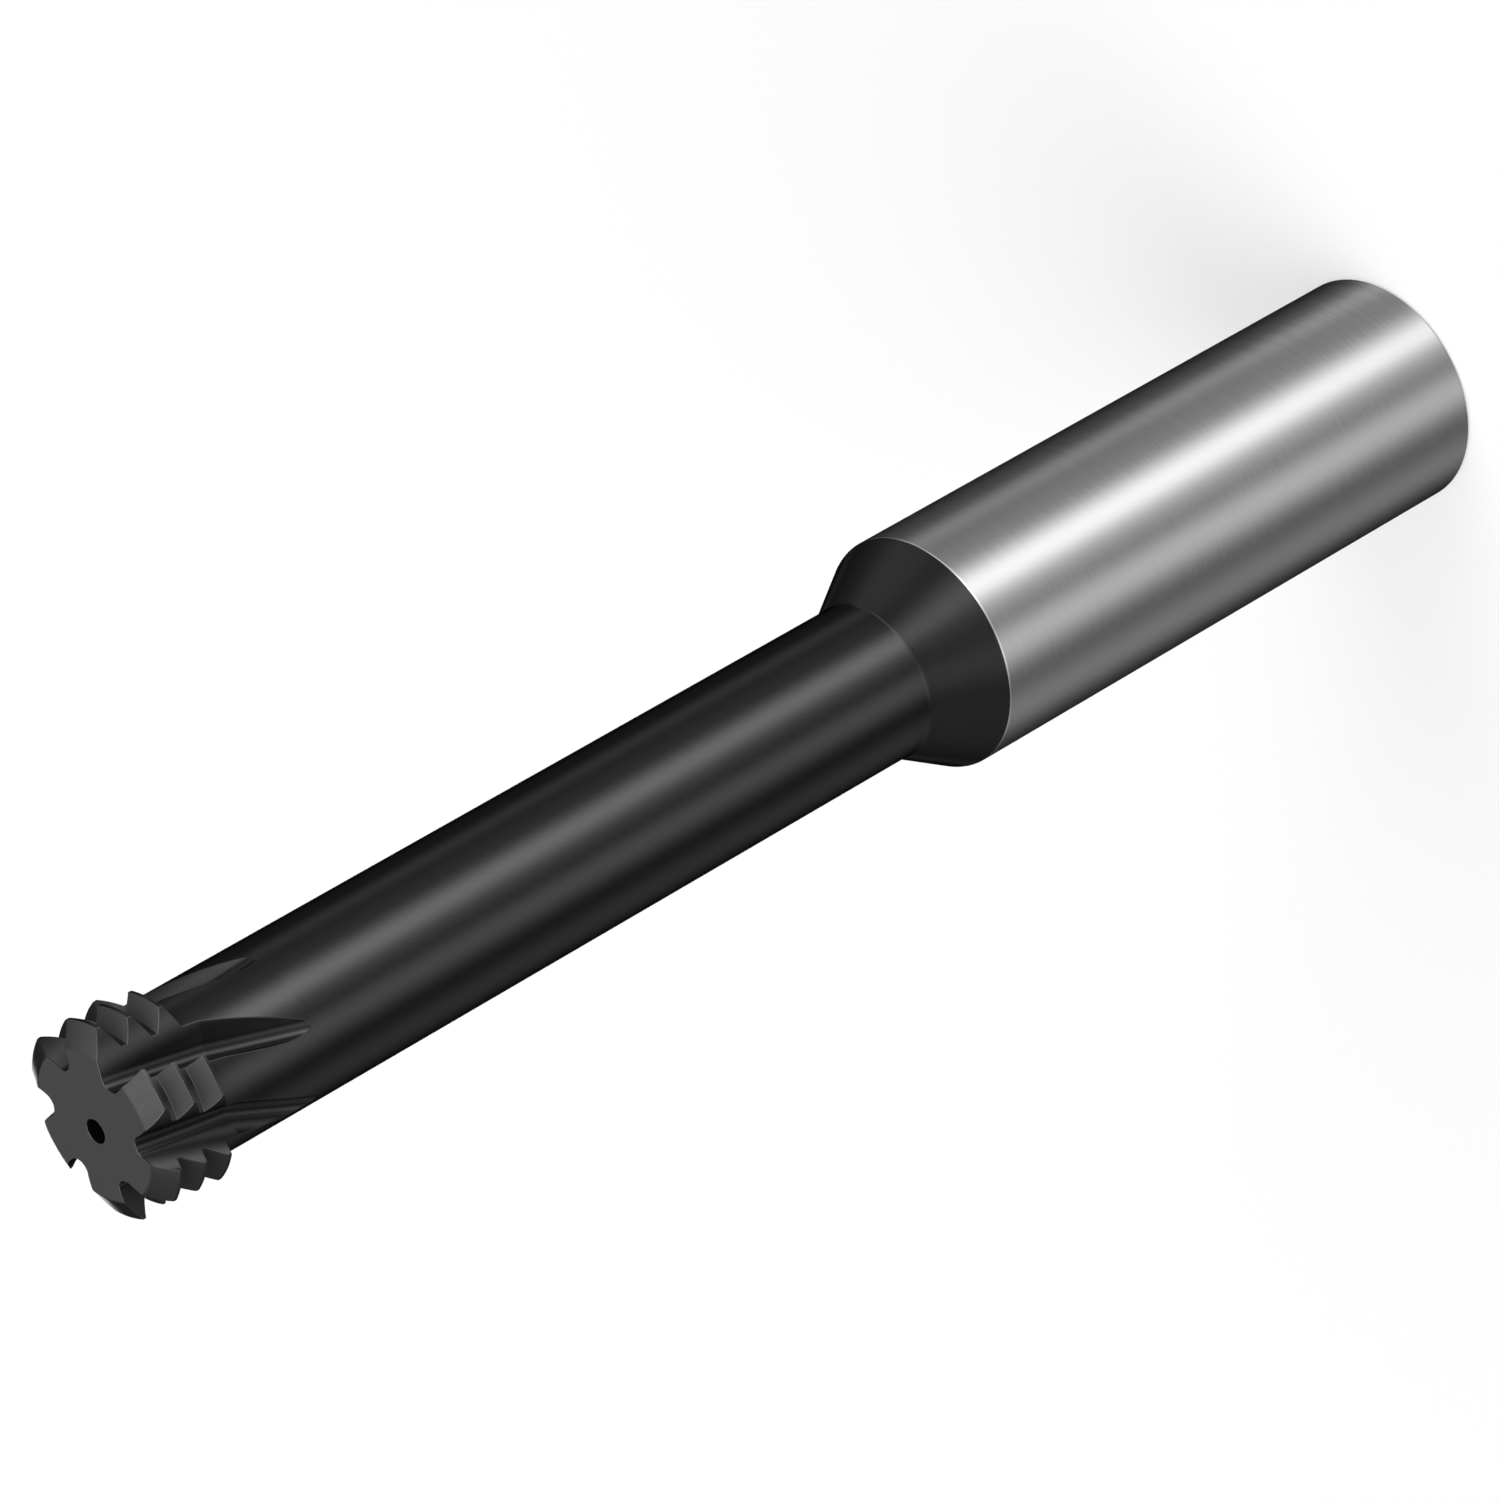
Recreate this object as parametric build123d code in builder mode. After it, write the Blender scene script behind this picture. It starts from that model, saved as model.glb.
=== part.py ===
"""Thread mill: one solid carbide tool with a ground shank, a relieved neck and a short cutting head.

The tool stands upright on the flat end of its shank, with its cutting head at the top.
The origin is the centre of the shank's flat end and +Z runs along the axis to the cutting head.
Lengths are in millimetres and angles in degrees.
"""

from build123d import *
from math import cos, pi, radians, sin, sqrt, tan
import os

# Shank and overall length
overall_length = 72.0
shank_diameter = 10.0
shank_length = 28.0
shank_end_break = 0.1
shank_front_break = 0.05

# Cone that joins the neck to the shank
cone_half_angle = 30.0
cone_fillet = 1.2

# Thread profile of the head: rows of annular teeth with narrow crest flats. The teeth's height
# also sets the neck, which lies level with their roots.
tooth_rows = 3
thread_pitch = 1.25
crest_diameter = 8.2
tooth_height = 0.76
crest_flat = 0.14
flank_angle = 30.0
root_fillet = 0.07

# Flutes: their depth below the crests, their section square to the axis, their helix and
# their straight run-out
flute_count = 6
flute_depth = 1.79
floor_radius = 0.48
rake_slope = 22.0
rake_hook_radius = 2.8
heel_slope = 33.0
heel_bulge_radius = 2.8
helix_angle = 15.0
helical_length = 4.35
runout_length = 4.0
runout_lean = 18.3
first_flute_angle = -65.6

# Coolant hole, which runs through the tool a little beside its axis
coolant_diameter = 1.0
coolant_offset_x = -0.2
coolant_offset_y = 0.1

# How far a cutting body runs past the surface that it cuts, and how far out the flute's section
# reaches for each length of the crest radius
overrun = 0.1
section_reach = 1.5

# Distance under which two places count as the same
same_place = 1e-6

# Angles that the rake's and the heel's arcs sweep, enough to carry them past the crests
rake_sweep = 45.0
heel_sweep = 50.0

shank_radius = shank_diameter / 2
crest_radius = crest_diameter / 2
neck_radius = crest_radius - tooth_height
core_radius = crest_radius - flute_depth


def polar(radius, angle):
    """Return the point at a radius and an angle in the flute section's plane."""
    return Vector(radius * cos(radians(angle)), radius * sin(radians(angle)))


# Half section of the turned blank, from the shank's end to the face of the head.
# Both edges of the shank are broken by a small chamfer. The cone falls from the front one
# until its slope reaches the neck.
cone_foot_radius = shank_radius - shank_front_break
cone_top = shank_length + (cone_foot_radius - neck_radius) / tan(radians(cone_half_angle))

# Each flank falls from its crest at the flank angle. The roots lie level with the neck, and
# the first row stands half a pitch behind the face, where its front flank is cut off.
flank_slope = tan(radians(flank_angle))
flank_length = tooth_height * flank_slope
face_radius = crest_radius - (thread_pitch - crest_flat) / 2 / flank_slope

half_section = [
    (0, 0),
    (shank_radius - shank_end_break, 0),
    (shank_radius, shank_end_break),
    (shank_radius, shank_length - shank_front_break),
    (cone_foot_radius, shank_length),
    (neck_radius, cone_top),
]
for row in reversed(range(tooth_rows)):
    crest_height = overall_length - (row + 0.5) * thread_pitch
    half_section.append((neck_radius, crest_height - crest_flat / 2 - flank_length))
    half_section.append((crest_radius, crest_height - crest_flat / 2))
    half_section.append((crest_radius, crest_height + crest_flat / 2))
    if row > 0:
        half_section.append((neck_radius, crest_height + crest_flat / 2 + flank_length))
half_section.append((face_radius, overall_length))
half_section.append((0, overall_length))

with BuildPart() as blank:
    with BuildSketch(Plane.XZ) as blank_half:
        with BuildLine():
            Polyline(*half_section, close=True)
        make_face()
        feet = blank_half.vertices().filter_by(lambda v: abs(v.X - neck_radius) < same_place)
        feet = feet.sort_by(Axis.Y)
        fillet(feet[1:], root_fillet)
        fillet(feet[0], cone_fillet)
    revolve(axis=Axis.Z)

# Section of a flute, square to the axis, at the kink where the helix ends and the run-out starts.
# A small arc is the floor. The rake face rises from it as a hollow arc, and the heel as a bulged
# arc that leans back, so that the lands between the flutes narrow towards their crests.
helix_lead = pi * crest_diameter / tan(radians(helix_angle))
helix_turn = 360 * helical_length / helix_lead
kink_height = overall_length - helical_length
kink_plane = Plane.XY.offset(kink_height).rotated((0, 0, first_flute_angle - helix_turn))
floor_centre = Vector(core_radius + floor_radius, 0)
rake_foot = floor_centre + polar(floor_radius, -90 - rake_slope)
heel_foot = floor_centre + polar(floor_radius, 90 + heel_slope)
outer = section_reach * crest_radius

with BuildSketch(kink_plane) as flute_section:
    with BuildLine():
        ThreePointArc(rake_foot, (core_radius, 0), heel_foot)
        rake = JernArc(rake_foot, polar(1, -rake_slope), rake_hook_radius, rake_sweep)
        heel = JernArc(heel_foot, polar(1, heel_slope), heel_bulge_radius, heel_sweep)
        Polyline(rake @ 1, (outer, (rake @ 1).Y), (outer, (heel @ 1).Y), heel @ 1)
    make_face()

# The run-out is straight. It leans sideways, on in the helix's direction, and climbs so that
# the floor reaches the neck's surface at its end.
sideways = runout_length * tan(radians(runout_lean))
climb = sqrt((neck_radius + floor_radius) ** 2 - sideways**2) - floor_centre.X
runout = kink_plane.x_dir * climb - kink_plane.y_dir * sideways - kink_plane.z_dir * runout_length
runout_reach = runout.length * (1 + overrun / runout_length)

# The right-hand helix turns the same section round the axis, up to the face.
with BuildPart() as flute_cutter:
    with BuildLine():
        axis_line = Line((0, 0, kink_height), (0, 0, overall_length + overrun))
        helix_line = Helix(
            helix_lead,
            axis_line.length,
            crest_radius,
            center=(0, 0, kink_height),
            mode=Mode.PRIVATE,
        )
    sweep(flute_section.sketch, path=axis_line, binormal=helix_line)
    extrude(flute_section.sketch, amount=runout_reach, dir=runout)

# The whole tool: the blank with its flutes ground in and the coolant hole through it
with BuildPart() as thread_mill:
    add(blank.part)
    with PolarLocations(0, flute_count):
        add(flute_cutter.part, mode=Mode.SUBTRACT)
    with Locations((coolant_offset_x, coolant_offset_y, overall_length)):
        Hole(coolant_diameter / 2)

thread_mill.part.label = "thread_mill"
os.makedirs("parts", exist_ok=True)
export_step(thread_mill.part, "parts/thread_mill.step")
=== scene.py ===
"""Thread mill: its finished surface and materials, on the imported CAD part, in the part's own frame.

The tool stands on the flat end of its shank, with its axis along +Z and its cutting head at the
top. Shapes are worked out in millimetres and put into the meshes in metres. Angles are in degrees.
"""

import math

import bpy
import numpy as np
from mathutils import Matrix
from mathutils.geometry import tessellate_polygon


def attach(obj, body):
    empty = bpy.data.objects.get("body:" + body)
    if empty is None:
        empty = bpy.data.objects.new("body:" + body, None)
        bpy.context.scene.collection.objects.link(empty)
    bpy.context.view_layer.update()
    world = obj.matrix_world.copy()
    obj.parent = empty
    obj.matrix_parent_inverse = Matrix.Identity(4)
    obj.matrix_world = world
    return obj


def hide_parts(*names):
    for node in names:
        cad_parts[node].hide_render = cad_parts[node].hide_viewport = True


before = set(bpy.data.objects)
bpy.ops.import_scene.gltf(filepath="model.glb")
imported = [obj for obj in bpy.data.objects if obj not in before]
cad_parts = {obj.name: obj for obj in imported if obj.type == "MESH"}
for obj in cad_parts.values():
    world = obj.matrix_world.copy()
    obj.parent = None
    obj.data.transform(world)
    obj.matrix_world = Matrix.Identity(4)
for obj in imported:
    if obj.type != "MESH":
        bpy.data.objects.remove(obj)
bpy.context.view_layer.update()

MM = 0.001

# Sizes of the tool, as the CAD part has them
LENGTH = 72.0
SHANK_RADIUS = 5.0
SHANK_LENGTH = 28.0
END_BREAK = 0.1
FRONT_BREAK = 0.05
CONE_HALF_ANGLE = 30.0
ROWS = 3
PITCH = 1.25
CREST_RADIUS = 4.1
NECK_RADIUS = 3.34
CREST_FLAT = 0.14
FLANK_ANGLE = 30.0
FLUTES = 6
CORE_RADIUS = 2.31
FLOOR_RADIUS = 0.48
RAKE_SLOPE, RAKE_RADIUS, RAKE_SWEEP = 22.0, 2.8, 45.0
HEEL_SLOPE, HEEL_RADIUS, HEEL_SWEEP = 33.0, 2.8, 50.0
HELIX_ANGLE = 15.0
HELICAL_LENGTH = 4.35
RUNOUT_LENGTH = 4.0
RUNOUT_LEAN = 18.3
FIRST_FLUTE_ANGLE = -65.6
HOLE_RADIUS = 0.5
HOLE_CENTRE = complex(-0.2, 0.1)

# Fillets at the cone's foot and at the tooth roots, then the rounding of the crests, of the
# flutes' edges, of the face and the hole's mouths, of the shank's end and of its front rim. They
# follow the photograph's highlights. The CAD part has wider fillets, sharp edges on the head and
# small chamfers on the shank.
CONE_FILLET = 0.45
ROOT_FILLET = 0.045
CREST_ROUND = 0.022
EDGE_ROUND = 0.04
FACE_ROUND = 0.04
END_ROUND = 0.02
FRONT_ROUND = 0.3

# Heights: where the cone would meet the shank's cylinder and the coating starts, where the
# rounding of that rim and its painted highlight start, where the helix ends, and where the flutes end
FRONT_RIM = SHANK_LENGTH - FRONT_BREAK / math.tan(math.radians(CONE_HALF_ANGLE))
RIM_START = FRONT_RIM - FRONT_ROUND * math.tan(math.radians(CONE_HALF_ANGLE / 2))
KINK = LENGTH - HELICAL_LENGTH
FLUTE_END = KINK - RUNOUT_LENGTH

# Points along a rounding of the profile, across a flute, across a land and round the hole, then
# the steps along the rounding of a flute's edge, of the face and of the hole's mouths
PROFILE_POINTS = 5
FLUTE_POINTS = 48
LAND_POINTS = 20
HOLE_POINTS = 48
EDGE_STEPS = (0.25, 0.5, 0.75)
FACE_BENDS = (22.5, 45.0, 67.5, 90.0)
MOUTH_BENDS = (0.0, 30.0, 60.0, 90.0)

# Rings between the profile's own points: how many over the run-out, how far apart in the helical
# part, and how far to each side of the kink
RUNOUT_RINGS = 44
HELIX_STEP = 0.055
KINK_STEP = 0.02

# How many on the cone, how far above the shank they start, and a height above the shank that lies
# between the cone's rim and its fillet
CONE_RINGS = 4
CONE_INSET = 0.2
ON_CONE = 1.0

# How far inside the ends of the shank, below the flutes and inside the hole's ends they lie, and
# how near to one of the profile's own points they may come
SHANK_INSET = 0.3
NECK_INSETS = (0.05, 1.0)
HOLE_INSET = 0.2
SMALLEST_GAP = 0.012

# Points of the flute's walls and floor, what a radian of turning adds to the measure along them,
# and the largest share of a flute's width that the rounding of an edge takes
WALL_POINTS = 500
FLOOR_POINTS = 400
TURN_SHARE = 0.6
EDGE_SHARE = 0.2

# Distance under which two places count as the same, decimals that places and heights are rounded
# to, and the least length that a normal is divided by
SAME_PLACE = 1e-6
DECIMALS = 6
HEIGHT_DECIMALS = 4
LEAST_LENGTH = 1e-12

# Noise: its detail, and the range that its values usually keep to
NOISE_DETAIL = 2.0
NOISE_LOW, NOISE_HIGH = 0.3, 0.7

# Bare carbide: its metal share and edge tint, the size and height in metres of the marks that
# grinding leaves, and their roughness. Greys of the ground shank and of its front rim, which is
# lighter as a painted highlight. Each pair goes over the noise's range, here and below.
CARBIDE_METAL = 0.93
CARBIDE_TINT = 0.75
MARK_SIZE = (0.004, 0.004, 0.00006)
MARK_HEIGHT = 3e-7
MARK_ROUGHNESS = (0.14, 0.18)
GROUND_GREYS = (0.515, 0.545)
RIM_HIGHLIGHT_GREYS = (0.75, 0.79)

# Coating: its edge tint and greys, the size and height in metres of its grain, and its roughness.
# Reach in metres, and samples, of the painted shade that darkens its grey where it is hollow.
COATING_TINT = 0.8
COATING_GREYS = (0.067, 0.073)
GRAIN_SIZE = (0.00008, 0.00008, 0.00008)
GRAIN_HEIGHT = 2e-7
GRAIN_ROUGHNESS = (0.11, 0.15)
HOLLOW_SHADE_REACH = 0.0022
HOLLOW_SHADE_SAMPLES = 12

# Wall of the hole: its grey, nearly black as painted shade, and its roughness, and how far past
# the hole's radius the middle of a triangle may lie and still be wall
WALL_SHADE_GREY = 0.004
WALL_ROUGHNESS = 0.9
WALL_MARGIN = 0.001

# Places of the finishes in the tool's list of materials
GROUND, COATED, WALL, RIM_HIGHLIGHT = range(4)

# Light tent: its radius, the step between its columns, its rows, and its highest elevation
TENT_RADIUS = 9000.0
TENT_STEP = 5
TENT_ROWS = 36
TENT_TOP = 89

# Lights of the tent. Azimuth turns from the camera's side towards -X. An upright band is given by
# its azimuth, strength and half width. The bands share their grades, and each patch is a band
# with grades of its own. A grade goes from one level to another between two elevations. A round
# light is given by its azimuth, elevation, strength and half width.
TENT_BANDS = (
    (-126.0, 0.05, 17.0),
    (-98.0, 0.31, 12.0),
    (-68.5, 0.26, 14.5),
    (-27.2, 1.97, 16.8),
    (2.0, 0.18, 8.0),
    (35.9, 0.82, 18.8),
    (104.0, 0.29, 24.0),
)
BAND_GRADES = ((-46, -42.5, 0.0, 1.0), (-24, 16, 1.0, 0.42), (26, 58, 1.0, 0.0))
TENT_PATCHES = (
    ((5, 3.8, 42), (26.4, 38.9, 0.0, 1.0), (58, 77, 1.0, 0.0)),
    ((-106, 1.4, 24), (-54, -47, 0.2, 1.0), (-44, -41.5, 1.0, 0.0)),
    ((-54, 0.8, 9), (-46, -42.5, 1.0, 0.0)),
    ((20, 0.47, 55), (-46, -42.5, 1.0, 0.0)),
    ((-66, 0.85, 17), (-24, -15, 0.0, 1.0), (-13, -8, 1.0, 0.0)),
    ((28, 0.25, 22), (-24, -14, 0.0, 1.0), (8, 20, 1.0, 0.0)),
    ((180, 1.8, 12), (-25, -19, 0.0, 1.0), (-14, -10, 1.0, 0.0)),
    ((84, 0.1, 14), (-24, -17, 0.0, 1.0), (12, 22, 1.0, 0.0)),
    ((-79, 0.13, 13), (-12, -4, 0.0, 1.0), (14, 24, 1.0, 0.0)),
    ((-22, 0.19, 9), (2, 8, 0.0, 1.0), (26, 36, 1.0, 0.0)),
)
TENT_ROUNDS = (
    (-20, 84, 1.6, 32),
    (-115, 37, 0.62, 26),
    (179, 34.5, 0.62, 20),
    (139, 32, 0.16, 14),
    (82, 44, 4.4, 12.5),
)

# Level of the background's own light, half the floor's side, the floor's grey, and its lift to
# white for the rays that see the background
WORLD_LIGHT = 0.6
FLOOR_HALF = 2500.0
FLOOR_GREY = 0.6
FLOOR_LIFT = 0.37

# Breadth of the lamps, as an angle, then each lamp's name, azimuth, elevation and strength. Their
# azimuth turns from +X towards +Y.
LAMP_BREADTH = 35.0
LAMPS = (("key_lamp", -140, 60, 1.1), ("fill_lamp", -30, 50, 0.7))

# Camera of the photograph: its sensor and lens, and in metres the nearest and farthest that it
# sees and its place
SENSOR = 36.0
LENS = 200.43
NEAR, FAR = 0.01, 20.0
CAMERA_PLACE = (
    (-0.49751, 0.86746, 0.0, 0.0),
    (-0.50777, -0.29122, -0.81076, -0.26648),
    (-0.70332, -0.40337, 0.58536, 0.22994),
    (0.0, 0.0, 0.0, 1.0),
)


def sine(angle):
    """Sine of an angle in degrees."""
    return math.sin(math.radians(angle))


def tangent(angle):
    """Tangent of an angle in degrees."""
    return math.tan(math.radians(angle))


def direction(angle):
    """Unit vector at an angle in degrees, as a complex number."""
    return np.exp(1j * math.radians(angle))


def arc(centre, radius, start, sweep, count):
    """Points of an arc as complex numbers: centre plus radius times each angle's unit vector."""
    angles = np.radians(start + np.linspace(0.0, sweep, count))
    return centre + radius * np.exp(1j * angles)


def rounded(corners):
    """A profile's points, radius plus i times height, with each corner given as (point, rounding).

    A corner's arc starts and ends at the distance rounding times the tangent of half the turn
    from the corner, and its points lie at that rounding from the arc's centre.
    """
    points = [corners[0][0]]
    for (before, _), (corner, radius), (after, _) in zip(corners, corners[1:], corners[2:]):
        arriving = (corner - before) / abs(corner - before)
        leaving = (after - corner) / abs(after - corner)
        turn = np.angle(leaving / arriving)
        side = 1j if turn > 0 else -1j
        start = corner - arriving * radius * math.tan(abs(turn) / 2)
        centre = start + side * arriving * radius
        angles = np.linspace(0.0, turn, PROFILE_POINTS)
        points.extend(centre + (start - centre) * np.exp(1j * angles))
    points.append(corners[-1][0])
    return np.array(points)


def half_profile():
    """The turned outline from the shank's end to the head's face, as radius plus i times height."""
    flank = (CREST_RADIUS - NECK_RADIUS) * tangent(FLANK_ANGLE)
    cone_top = FRONT_RIM + (SHANK_RADIUS - NECK_RADIUS) / tangent(CONE_HALF_ANGLE)
    face_radius = CREST_RADIUS - (PITCH - CREST_FLAT) / 2 / tangent(FLANK_ANGLE)
    corners = [
        (complex(SHANK_RADIUS - 2 * END_BREAK, 0), 0),
        (complex(SHANK_RADIUS - END_BREAK, 0), END_ROUND),
        (complex(SHANK_RADIUS, END_BREAK), END_ROUND),
        (complex(SHANK_RADIUS, FRONT_RIM), FRONT_ROUND),
        (complex(NECK_RADIUS, cone_top), CONE_FILLET),
    ]
    for row in reversed(range(ROWS)):
        height = LENGTH - (row + 0.5) * PITCH
        low, high = height - CREST_FLAT / 2, height + CREST_FLAT / 2
        corners.append((complex(NECK_RADIUS, low - flank), ROOT_FILLET))
        corners.append((complex(CREST_RADIUS, low), CREST_ROUND))
        corners.append((complex(CREST_RADIUS, high), CREST_ROUND))
        if row > 0:
            corners.append((complex(NECK_RADIUS, high + flank), ROOT_FILLET))
    corners.append((complex(face_radius, LENGTH), 0))
    return rounded(corners)


def slices(profile):
    """Heights and turned radii of the rings, up to the start of the face's rounding.

    The profile's own points come first, with more heights between them where the flutes are.
    """
    top = LENGTH - FACE_ROUND
    foot = profile.imag[np.argmax(profile.imag > SHANK_LENGTH + ON_CONE)]
    heights = np.concatenate([
        profile.imag,
        KINK - RUNOUT_LENGTH * np.sin(np.linspace(0.0, math.pi / 2, RUNOUT_RINGS)),
        np.arange(KINK, top, HELIX_STEP),
        KINK + np.array([-KINK_STEP, KINK_STEP]),
        np.linspace(SHANK_LENGTH + CONE_INSET, foot, CONE_RINGS),
        [SHANK_INSET, SHANK_LENGTH - SHANK_INSET],
        FLUTE_END - np.array(NECK_INSETS),
        [top],
    ])
    heights = np.unique(np.round(heights[heights <= top], HEIGHT_DECIMALS))
    own = np.round(profile.imag, HEIGHT_DECIMALS)
    gap = np.array([np.abs(own - h).min() for h in heights])
    keep = (gap < SAME_PLACE) | (gap > SMALLEST_GAP) | (heights == round(top, HEIGHT_DECIMALS))
    heights = heights[keep]
    return heights, np.interp(heights, profile.imag, profile.real)


def flute_curve():
    """The flute's section as dense points in its own plane, and a running measure along it.

    The floor is a small arc. The rake is an arc hollow to the flute, and the heel an arc bulged
    into it. The measure adds a share of the turning to the length, so that equal steps of it
    crowd in the floor.
    """
    floor = complex(CORE_RADIUS + FLOOR_RADIUS, 0)
    rake_foot = floor + FLOOR_RADIUS * direction(-90 - RAKE_SLOPE)
    heel_foot = floor + FLOOR_RADIUS * direction(90 + HEEL_SLOPE)
    rake_centre = rake_foot + RAKE_RADIUS * direction(90 - RAKE_SLOPE)
    heel_centre = heel_foot + HEEL_RADIUS * direction(90 + HEEL_SLOPE)
    floor_sweep = RAKE_SLOPE + HEEL_SLOPE - 180
    rake = arc(rake_centre, RAKE_RADIUS, -90 - RAKE_SLOPE, RAKE_SWEEP, WALL_POINTS)[::-1]
    bottom = arc(floor, FLOOR_RADIUS, -90 - RAKE_SLOPE, floor_sweep, FLOOR_POINTS)
    heel = arc(heel_centre, HEEL_RADIUS, HEEL_SLOPE - 90, HEEL_SWEEP, WALL_POINTS)
    curve = np.concatenate([rake, bottom[1:-1], heel])
    steps = np.diff(curve)
    turning = np.abs(np.angle(steps[1:] / steps[:-1]))
    measure = np.abs(steps)
    measure[1:] += TURN_SHARE * turning
    return curve, np.concatenate([[0.0], np.cumsum(measure)])


def crossing(distance, radii, measure, low, high):
    """The measure at which the curve's distance from the axis reaches the turned radius,
    between the neighbouring points low and high, by proportion."""
    rows = np.arange(len(radii))
    a, b = distance[rows, low], distance[rows, high]
    share = np.clip((radii - a) / np.where(b == a, 1.0, b - a), 0.0, 1.0)
    return measure[low] + share * (measure[high] - measure[low])


def rings(heights, radii):
    """The outline of the tool at each height, as one row of complex numbers for each ring.

    At a height the flute's curve is moved by the run-out's climb and lean, then turned by the
    helix. It is cut where it crosses the turned radius, and the land runs from there to the next
    flute. A quadratic curve, whose middle point is the sharp corner, rounds each edge. The
    flutes after the first are the same outline turned by equal angles.
    """
    lead = 2 * math.pi * CREST_RADIUS / tangent(HELIX_ANGLE)
    sideways = RUNOUT_LENGTH * tangent(RUNOUT_LEAN)
    floor = CORE_RADIUS + FLOOR_RADIUS
    climb = math.sqrt((NECK_RADIUS + FLOOR_RADIUS) ** 2 - sideways**2) - floor
    travel = np.clip((KINK - heights) / RUNOUT_LENGTH, 0.0, 1.0)
    moved = travel * complex(climb, -sideways)
    turn = FIRST_FLUTE_ANGLE + 360 / lead * (np.maximum(heights, KINK) - LENGTH)
    turned = np.exp(1j * np.radians(turn))[:, None]

    curve, measure = flute_curve()
    distance = np.abs(curve[None, :] + moved[:, None])
    middle = distance.argmin(1)
    index = np.arange(len(curve))[None, :]
    outside = distance >= radii[:, None]
    present = (distance.min(1) < radii - SAME_PLACE) & (heights > FLUTE_END)
    right = np.where(present, np.argmax(outside & (index > middle[:, None]), axis=1), middle)
    left_of = outside & (index < middle[:, None])
    left = len(curve) - 1 - np.argmax(left_of[:, ::-1], axis=1)
    left = np.where(present, left, middle)
    low = crossing(distance, radii, measure, left, np.where(present, left + 1, left))
    high = crossing(distance, radii, measure, np.where(present, right - 1, right), right)
    low = np.where(present, low, measure[middle])
    high = np.where(present, high, measure[middle])

    def on_curve(at):
        x = np.interp(at, measure, curve.real)
        y = np.interp(at, measure, curve.imag)
        point = (x + 1j * y + moved[:, None]) * turned
        return np.where(present[:, None], point, point / np.abs(point) * radii[:, None])

    cut = np.minimum(EDGE_ROUND, EDGE_SHARE * (high - low))
    share = np.linspace(0.0, 1.0, FLUTE_POINTS)[None, :]
    start, stop = (low + cut)[:, None], (high - cut)[:, None]
    flute = on_curve(start + (stop - start) * share)
    sharp_low = on_curve(low[:, None])
    sharp_high = on_curve(high[:, None])
    sector = np.exp(2j * math.pi / FLUTES)
    first = np.angle(sharp_high)
    last = np.angle(sharp_low * sector)
    last = first + np.mod(last - first, 2 * math.pi)
    edge = (cut / radii)[:, None]
    across = np.linspace(0.0, 1.0, LAND_POINTS)[None, :]
    land_angle = (first + edge) + (last - first - 2 * edge) * across
    land = radii[:, None] * np.exp(1j * land_angle)

    def corner(a, sharp, b):
        t = np.array(EDGE_STEPS)[None, :]
        return (1 - t) ** 2 * a + 2 * t * (1 - t) * sharp + t**2 * b

    heel_edge = corner(flute[:, -1:], sharp_high, land[:, :1])
    rake_edge = corner(land[:, -1:], sharp_low * sector, flute[:, :1] * sector)
    one = np.concatenate([flute, heel_edge, land, rake_edge], axis=1)
    return np.concatenate([one * sector**k for k in range(FLUTES)], axis=1)


def inward(ring, distance):
    """A ring moved inwards, square to its own direction, by a distance."""
    along = np.roll(ring, -1) - np.roll(ring, 1)
    return ring + 1j * along / np.abs(along) * distance


def stacked(outlines, heights):
    """Vertices of rings of complex numbers, each at its height, one ring after another."""
    up = np.repeat(heights[:, None], outlines.shape[1], 1)
    return np.stack([outlines.real, outlines.imag, up], axis=2).reshape(-1, 3)


def walls(base, rows, count):
    """Quads between each ring and the next, for rows of rings of count points. A quad's four
    numbers are two neighbours on a ring and the same two on the next, counted on from base."""
    here = np.arange(count)
    after = (here + 1) % count
    band = np.stack([here, after, after + count, here + count], axis=1)
    starts = base + np.arange(rows - 1) * count
    return (starts[:, None, None] + band[None, :, :]).reshape(-1, 4)


def halved(quads):
    """Two triangles for each quad, cut from its first corner to its third."""
    return np.concatenate([quads[:, [0, 1, 2]], quads[:, [0, 2, 3]]])


def tool_surface():
    """Vertices and triangles of the whole tool: the rings, both end faces and the coolant hole.

    The roundings of the face and of the hole's mouths are quarter circles. At a bend the height
    lies one less the sine of it, and the way inwards one less its cosine, times their radius.
    """
    profile = half_profile()
    heights, radii = slices(profile)
    outline = rings(heights, radii)
    bend = np.radians(FACE_BENDS)
    face_heights = LENGTH - FACE_ROUND * (1 - np.sin(bend))
    below = rings(face_heights, np.interp(face_heights, profile.imag, profile.real))
    top = np.array([inward(r, FACE_ROUND * (1 - math.cos(b))) for r, b in zip(below, bend)])
    shell = stacked(np.concatenate([outline, top]), np.concatenate([heights, face_heights]))
    count = outline.shape[1]

    bend = np.radians(MOUTH_BENDS)
    wider = HOLE_RADIUS + FACE_ROUND * (1 - np.sin(bend))
    mouth = FACE_ROUND * (1 - np.cos(bend))
    hole_radii = np.concatenate([wider, [HOLE_RADIUS, HOLE_RADIUS], wider[::-1]])
    inside = [LENGTH - HOLE_INSET, HOLE_INSET]
    hole_heights = np.concatenate([LENGTH - mouth, inside, mouth[::-1]])
    circle = np.exp(2j * math.pi * np.arange(HOLE_POINTS) / HOLE_POINTS)
    hole = stacked(HOLE_CENTRE + hole_radii[:, None] * circle[None, :], hole_heights)

    base = len(shell)
    vertices = np.concatenate([shell, hole])
    shell_walls = walls(0, base // count, count)
    hole_walls = walls(base, len(hole_radii), HOLE_POINTS)
    triangles = halved(np.concatenate([shell_walls, hole_walls]))
    caps = [
        cap(vertices, np.arange(base - count, base), base + np.arange(HOLE_POINTS), 1.0),
        cap(vertices, np.arange(count), len(vertices) - HOLE_POINTS + np.arange(HOLE_POINTS), -1.0),
    ]
    return welded(vertices, np.concatenate([triangles, *caps]))


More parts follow.
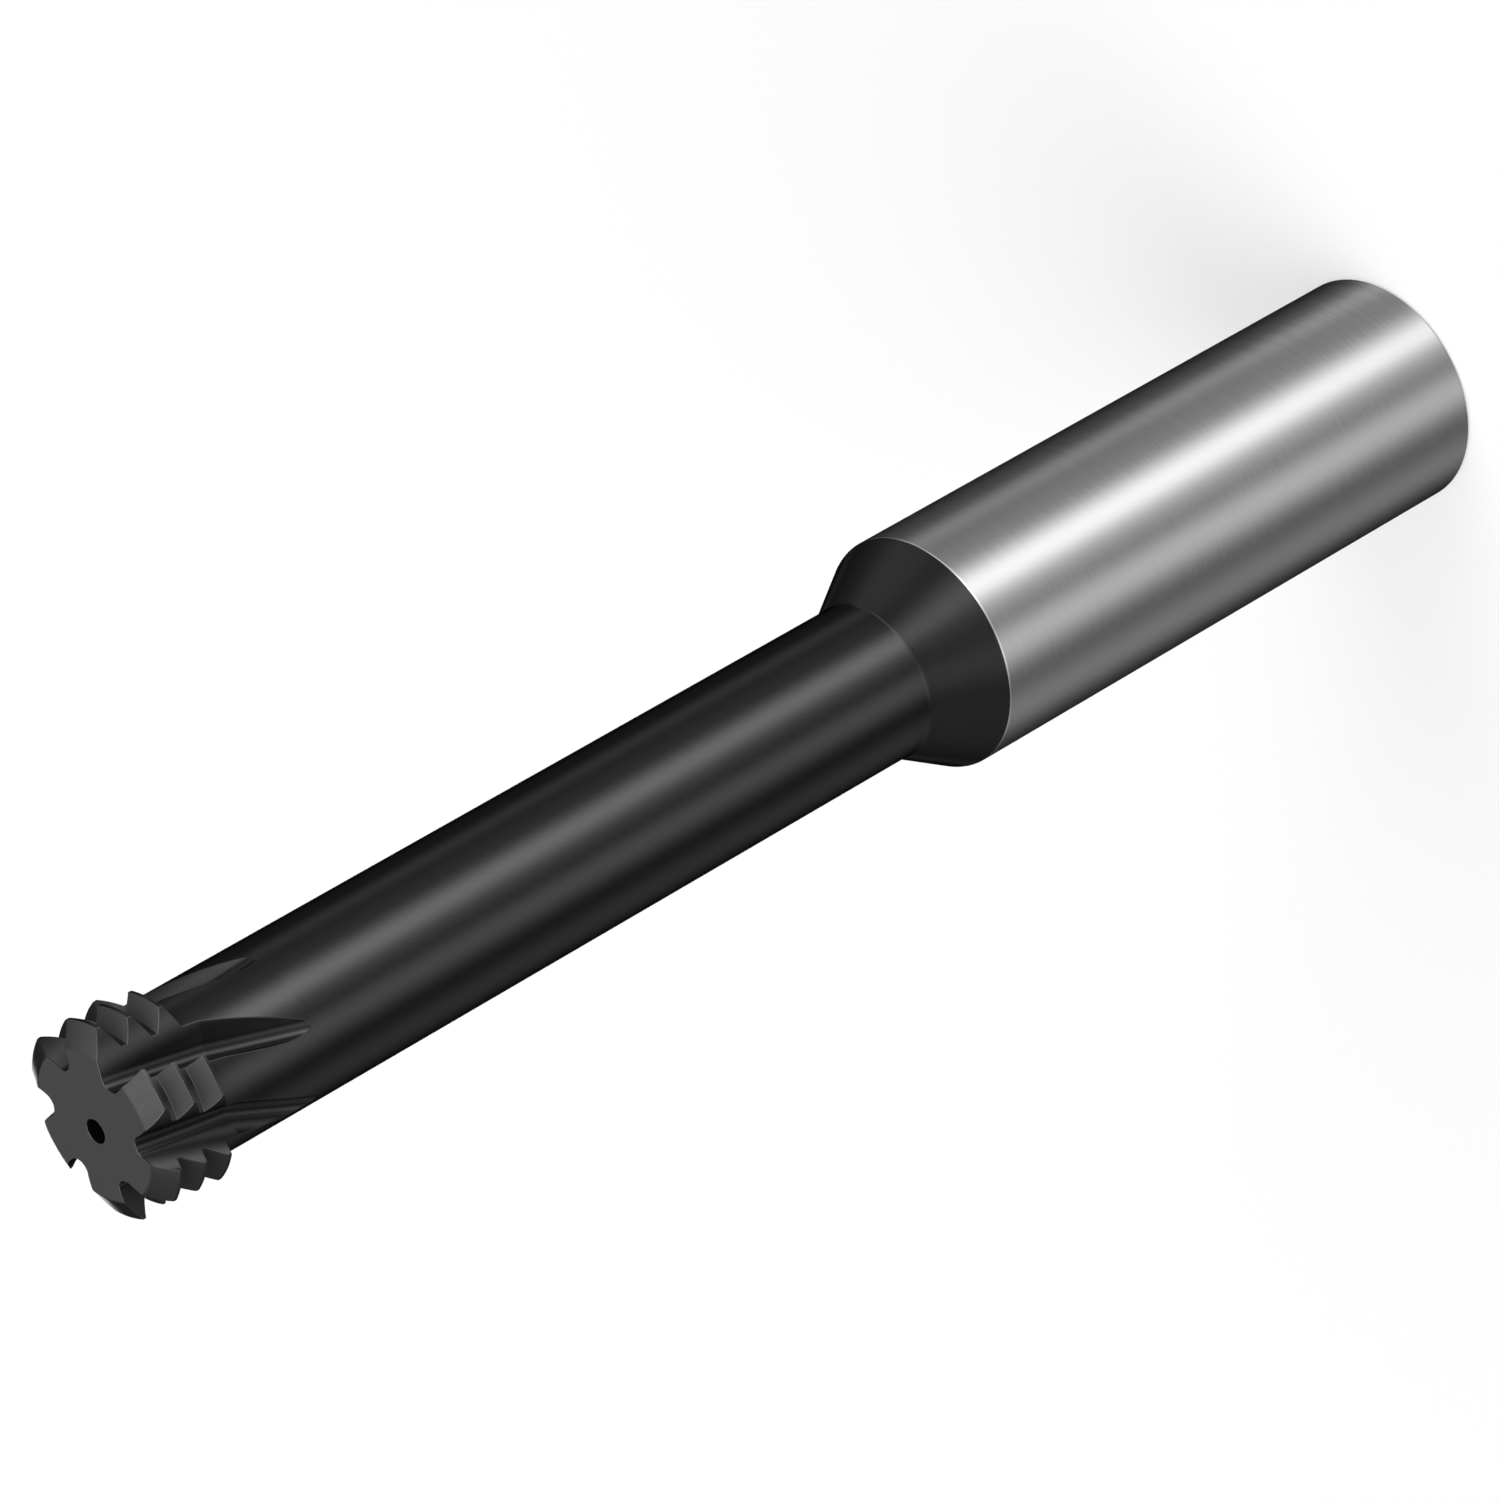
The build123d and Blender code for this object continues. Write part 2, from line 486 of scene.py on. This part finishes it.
def cap(vertices, outer, inner, facing):
    """Triangles that fill a flat face between an outer and an inner ring, wound to face up or
    down as facing is 1 or -1."""
    step = vertices[outer] - vertices[np.roll(outer, 1)]
    outer = outer[np.linalg.norm(step, axis=1) > SAME_PLACE]
    names = np.concatenate([outer, inner])
    found = tessellate_polygon([vertices[outer].tolist(), vertices[inner].tolist()])
    triangles = names[np.array(found)]
    right_way = area_vectors(vertices, triangles)[:, 2] * facing > 0
    return np.where(right_way[:, None], triangles, triangles[:, ::-1])


def welded(vertices, triangles):
    """The same surface with coincident vertices made one and empty triangles dropped."""
    places = np.round(vertices, DECIMALS)
    _, first, name = np.unique(places, axis=0, return_index=True, return_inverse=True)
    triangles = name.reshape(-1)[triangles]
    a, b, c = triangles.T
    whole = (a != b) & (b != c) & (c != a)
    return vertices[first], triangles[whole]


def area_vectors(vertices, triangles):
    """Each triangle's normal, twice as long as its area: the cross product of two of its sides."""
    a, b, c = (vertices[triangles[:, k]] for k in range(3))
    return np.cross(b - a, c - a)


def vertex_normals(vertices, triangles):
    """At each vertex, the sum of the area vectors of the triangles round it, made one long."""
    area = area_vectors(vertices, triangles)
    total = np.zeros_like(vertices)
    for k in range(3):
        np.add.at(total, triangles[:, k], area)
    return total / np.maximum(np.linalg.norm(total, axis=1, keepdims=True), LEAST_LENGTH)


def surface_object(name, vertices, triangles, smooth=True):
    """A mesh object at the origin from millimetre vertices and triangles."""
    mesh = bpy.data.meshes.new(name)
    mesh.vertices.add(len(vertices))
    mesh.vertices.foreach_set("co", (vertices * MM).astype(np.float32).ravel())
    mesh.loops.add(triangles.size)
    mesh.loops.foreach_set("vertex_index", triangles.astype(np.int32).ravel())
    mesh.polygons.add(len(triangles))
    mesh.polygons.foreach_set("loop_start", np.arange(0, triangles.size, 3, dtype=np.int32))
    mesh.update(calc_edges=True)
    mesh.validate()
    if smooth:
        mesh.polygons.foreach_set("use_smooth", np.ones(len(mesh.polygons), bool))
        mesh.normals_split_custom_set_from_vertices(vertex_normals(vertices, triangles).tolist())
    obj = bpy.data.objects.new(name, mesh)
    bpy.context.scene.collection.objects.link(obj)
    return obj


def empty_material(name):
    """A material with nothing but its output: the material, its node tree and the output's
    surface input."""
    material = bpy.data.materials.new(name)
    material.use_nodes = True
    tree = material.node_tree
    tree.nodes.clear()
    output = tree.nodes.new("ShaderNodeOutputMaterial")
    return material, tree, output.inputs["Surface"]


def new_material(name):
    """A material with a Principled shader: the material, its node tree and the shader's inputs."""
    material, tree, surface = empty_material(name)
    shader = tree.nodes.new("ShaderNodeBsdfPrincipled")
    tree.links.new(shader.outputs["BSDF"], surface)
    return material, tree, shader.inputs


def maths(tree, operation, *values):
    """The result of a maths node, whose inputs are sockets or numbers."""
    node = tree.nodes.new("ShaderNodeMath")
    node.operation = operation
    for socket, value in zip(node.inputs, values):
        if isinstance(value, bpy.types.NodeSocket):
            tree.links.new(value, socket)
        else:
            socket.default_value = value
    return node.outputs[0]


def eased(tree, value, start, stop, first, last):
    """A value that goes smoothly from first to last as another goes from start to stop."""
    node = tree.nodes.new("ShaderNodeMapRange")
    node.interpolation_type = "SMOOTHSTEP"
    tree.links.new(value, node.inputs["Value"])
    ends = {"From Min": start, "From Max": stop, "To Min": first, "To Max": last}
    for name, number in ends.items():
        node.inputs[name].default_value = number
    return node.outputs["Result"]


def grey(level):
    """A grey of a level, as a colour."""
    return level, level, level, 1.0


def streaked_noise(tree, size):
    """Noise on Object coordinates, with a grain of the given size in metres along each axis."""
    place = tree.nodes.new("ShaderNodeTexCoord")
    stretch = tree.nodes.new("ShaderNodeMapping")
    stretch.inputs["Scale"].default_value = tuple(1 / s for s in size)
    noise = tree.nodes.new("ShaderNodeTexNoise")
    noise.inputs["Scale"].default_value = 1.0
    noise.inputs["Detail"].default_value = NOISE_DETAIL
    tree.links.new(place.outputs["Object"], stretch.inputs["Vector"])
    tree.links.new(stretch.outputs["Vector"], noise.inputs["Vector"])
    return noise.outputs["Fac"]


def grey_between(tree, value, greys):
    """A grey that goes from the first to the second as a noise value goes over its usual range."""
    ramp = tree.nodes.new("ShaderNodeValToRGB")
    for stop, place, level in zip(ramp.color_ramp.elements, (NOISE_LOW, NOISE_HIGH), greys):
        stop.position = place
        stop.color = grey(level)
    tree.links.new(value, ramp.inputs["Fac"])
    return ramp.outputs["Color"]


def worked(tree, inputs, noise, roughness, height):
    """Gives the surface the finish of a noise: its roughness goes from the first to the second
    over the noise's usual range, and its relief is the noise times a height in metres."""
    level = eased(tree, noise, NOISE_LOW, NOISE_HIGH, *roughness)
    tree.links.new(level, inputs["Roughness"])
    bump = tree.nodes.new("ShaderNodeBump")
    bump.inputs["Distance"].default_value = height
    tree.links.new(noise, bump.inputs["Height"])
    tree.links.new(bump.outputs["Normal"], inputs["Normal"])


def bright_carbide(name, greys):
    """Bare carbide, ground all round: its fine marks run round it and are close along the axis."""
    material, tree, inputs = new_material(name)
    inputs["Metallic"].default_value = CARBIDE_METAL
    inputs["Specular Tint"].default_value = grey(CARBIDE_TINT)
    marks = streaked_noise(tree, MARK_SIZE)
    tree.links.new(grey_between(tree, marks, greys), inputs["Base Color"])
    worked(tree, inputs, marks, MARK_ROUGHNESS, MARK_HEIGHT)
    return material


def dark_coating():
    """Hard, dark grey, satin coating of the cone, neck and head, with a fine grain. Its grey is
    darkened where the surface is hollow, as painted shade."""
    material, tree, inputs = new_material("dark_coating")
    inputs["Metallic"].default_value = 1.0
    inputs["Specular Tint"].default_value = grey(COATING_TINT)
    grain = streaked_noise(tree, GRAIN_SIZE)
    # Painted shade: ambient occlusion darkens the coating's grey in the tooth roots and flutes.
    hollow_shade = tree.nodes.new("ShaderNodeAmbientOcclusion")
    hollow_shade.samples = HOLLOW_SHADE_SAMPLES
    hollow_shade.only_local = True
    hollow_shade.inputs["Distance"].default_value = HOLLOW_SHADE_REACH
    tree.links.new(grey_between(tree, grain, COATING_GREYS), hollow_shade.inputs["Color"])
    tree.links.new(hollow_shade.outputs["Color"], inputs["Base Color"])
    worked(tree, inputs, grain, GRAIN_ROUGHNESS, GRAIN_HEIGHT)
    return material


def shaded_hole_wall():
    """Coated wall of the coolant hole, dull and painted nearly black as shade, since hardly any light
    reaches it.
    """
    material, _, inputs = new_material("shaded_hole_wall")
    inputs["Metallic"].default_value = 0.0
    inputs["Roughness"].default_value = WALL_ROUGHNESS
    inputs["Specular IOR Level"].default_value = 0.0
    # Nearly black grey: painted shade inside the deep hole.
    inputs["Base Color"].default_value = grey(WALL_SHADE_GREY)
    return material


def tool_piece():
    """The tool with its four finishes: bright shank, dark front, wall of the hole in painted
    shade, and the shank's front rim lightened as a painted highlight. It isn't seen in
    reflections, so it reflects the tent alone."""
    vertices, triangles = tool_surface()
    tool = surface_object("thread_mill_surface", vertices, triangles)
    ground = bright_carbide("ground_carbide", GROUND_GREYS)
    # Lighter copy of the ground carbide for the shank's front rim: a painted highlight.
    rim_highlight = bright_carbide("rim_painted_highlight", RIM_HIGHLIGHT_GREYS)
    for material in (ground, dark_coating(), shaded_hole_wall(), rim_highlight):
        tool.data.materials.append(material)
    centres = vertices[triangles].mean(1)
    from_hole = np.abs(centres[:, 0] + 1j * centres[:, 1] - HOLE_CENTRE)
    finish = np.where(centres[:, 2] > RIM_START, RIM_HIGHLIGHT, GROUND)
    finish = np.where(centres[:, 2] > FRONT_RIM, COATED, finish)
    finish = np.where(from_hole < HOLE_RADIUS + WALL_MARGIN, WALL, finish)
    tool.data.polygons.foreach_set("material_index", finish.astype(np.int32))
    tool.visible_glossy = False
    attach(tool, "root")
    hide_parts("thread_mill")


def background_ray(tree):
    """One for the rays that see the white background: from the camera, a gloss or a clear body."""
    path = tree.nodes.new("ShaderNodeLightPath").outputs
    seen = maths(tree, "MAXIMUM", path["Is Camera Ray"], path["Is Glossy Ray"])
    return maths(tree, "MAXIMUM", seen, path["Is Transmission Ray"])


def white_world():
    """White background, which lights the scene at a lower level than it is seen at."""
    world = bpy.data.worlds.new("studio")
    world.use_nodes = True
    tree = world.node_tree
    background = tree.nodes["Background"]
    strength = maths(tree, "MULTIPLY_ADD", background_ray(tree), 1.0 - WORLD_LIGHT, WORLD_LIGHT)
    background.inputs["Color"].default_value = grey(1.0)
    tree.links.new(strength, background.inputs["Strength"])
    bpy.context.scene.world = world


def soft_light(tree, cosine, strength, half_width):
    """Light that fades smoothly with the angle from its middle, given that angle's cosine.

    It is the strength times e to the power of a sharpness times the cosine less one. The
    sharpness is such that half the strength is left at the half width.
    """
    sharpness = math.log(2) / (1 - math.cos(math.radians(half_width)))
    power = maths(tree, "MULTIPLY_ADD", cosine, sharpness, math.log(strength) - sharpness)
    return maths(tree, "EXPONENT", power)


def tent_light():
    """Light of the tent by direction: the sum of its upright bands, which share their grades, of
    its patches, which have grades of their own, and of its round lights.

    The angle from an upright light's middle is the difference in azimuth. For a round light its
    cosine is the product of the two directions.
    """
    material, tree, surface = empty_material("tent_light")
    emission = tree.nodes.new("ShaderNodeEmission")
    place = tree.nodes.new("ShaderNodeTexCoord")
    split = tree.nodes.new("ShaderNodeSeparateXYZ")
    tree.links.new(place.outputs["Object"], split.inputs[0])
    left, front, height = (
        maths(tree, "MULTIPLY", split.outputs[axis], sign / (TENT_RADIUS * MM))
        for axis, sign in (("X", -1), ("Y", -1), ("Z", 1))
    )
    azimuth = maths(tree, "ARCTAN2", left, front)

    def upright(middle, strength, half_width):
        cosine = maths(tree, "COSINE", maths(tree, "SUBTRACT", azimuth, math.radians(middle)))
        return soft_light(tree, cosine, strength, half_width)

    def graded(light, grades):
        for start, stop, first, last in grades:
            level = eased(tree, height, sine(start), sine(stop), first, last)
            light = maths(tree, "MULTIPLY", light, level)
        return light

    total = 0.0
    for band in TENT_BANDS:
        total = maths(tree, "ADD", upright(*band), total)
    total = graded(total, BAND_GRADES)
    for patch, *grades in TENT_PATCHES:
        total = maths(tree, "ADD", graded(upright(*patch), grades), total)
    for middle, elevation, strength, half_width in TENT_ROUNDS:
        a, e = math.radians(middle), math.radians(elevation)
        cosine = maths(tree, "MULTIPLY", left, math.sin(a) * math.cos(e))
        cosine = maths(tree, "MULTIPLY_ADD", front, math.cos(a) * math.cos(e), cosine)
        cosine = maths(tree, "MULTIPLY_ADD", height, math.sin(e), cosine)
        total = maths(tree, "ADD", soft_light(tree, cosine, strength, half_width), total)
    tree.links.new(total, emission.inputs["Strength"])
    tree.links.new(emission.outputs[0], surface)
    return material


def studio_tent():
    """Light tent all round the tool, which only reflections see.

    Its points lie at one distance from the foot of the tool, at each azimuth and elevation. It is
    so wide that where it is met depends on a reflection's direction alone.
    """
    azimuth = np.radians(np.arange(0, 360, TENT_STEP))
    elevation = np.radians(np.linspace(-TENT_TOP, TENT_TOP, TENT_ROWS))
    circles = TENT_RADIUS * np.cos(elevation)[:, None] * np.exp(1j * azimuth)[None, :]
    points = stacked(circles, TENT_RADIUS * np.sin(elevation))
    facing_in = walls(0, len(elevation), len(azimuth))[:, ::-1]
    tent = surface_object("studio_tent", points, halved(facing_in), smooth=False)
    tent.data.materials.append(tent_light())
    tent.visible_camera = False
    tent.visible_diffuse = False
    tent.visible_transmission = False
    tent.visible_shadow = False


def studio_floor():
    """Pale floor under the tool: it scatters light, so the tool's shadow stays on it, and its own
    colour is lifted to white for the rays that see the background."""
    corners = np.array([[-1, -1, 0], [1, -1, 0], [1, 1, 0], [-1, 1, 0]]) * FLOOR_HALF
    floor = surface_object("studio_floor", corners, halved(np.arange(4)[None, :]), smooth=False)
    material, tree, surface = empty_material("pale_floor")
    scatter = tree.nodes.new("ShaderNodeBsdfDiffuse")
    scatter.inputs["Color"].default_value = grey(FLOOR_GREY)
    lift = tree.nodes.new("ShaderNodeEmission")
    both = tree.nodes.new("ShaderNodeAddShader")
    level = maths(tree, "MULTIPLY", background_ray(tree), FLOOR_LIFT)
    tree.links.new(level, lift.inputs["Strength"])
    tree.links.new(scatter.outputs[0], both.inputs[0])
    tree.links.new(lift.outputs[0], both.inputs[1])
    tree.links.new(both.outputs[0], surface)
    floor.data.materials.append(material)
    floor.visible_glossy = False


def lamp(name, azimuth, elevation, strength):
    """Broad soft lamp, far away, that shines on the tool from an azimuth and elevation."""
    data = bpy.data.lights.new(name, "SUN")
    data.angle = math.radians(LAMP_BREADTH)
    data.energy = strength
    obj = bpy.data.objects.new(name, data)
    bpy.context.scene.collection.objects.link(obj)
    a, e = math.radians(azimuth), math.radians(elevation)
    back = np.array([math.cos(e) * math.cos(a), math.cos(e) * math.sin(a), math.sin(e)])
    right = np.array([-math.sin(a), math.cos(a), 0.0])
    up = np.cross(back, right)
    rows = [[right[k], up[k], back[k], back[k]] for k in range(3)]
    obj.matrix_world = Matrix(rows + [[0, 0, 0, 1]])
    obj.visible_glossy = False


def photograph_camera():
    """Camera at the photograph's angle. It looks down on the tool and is rolled, so that the
    tool lies across the picture with its head at the lower left."""
    data = bpy.data.cameras.new("camera")
    data.type = "PERSP"
    data.sensor_width = SENSOR
    data.lens = LENS
    data.clip_start = NEAR
    data.clip_end = FAR
    camera = bpy.data.objects.new("camera", data)
    bpy.context.scene.collection.objects.link(camera)
    camera.matrix_world = Matrix(CAMERA_PLACE)
    bpy.context.scene.camera = camera


tool_piece()
white_world()
studio_tent()
studio_floor()
for settings in LAMPS:
    lamp(*settings)
photograph_camera()
bpy.context.scene.view_settings.view_transform = "Standard"
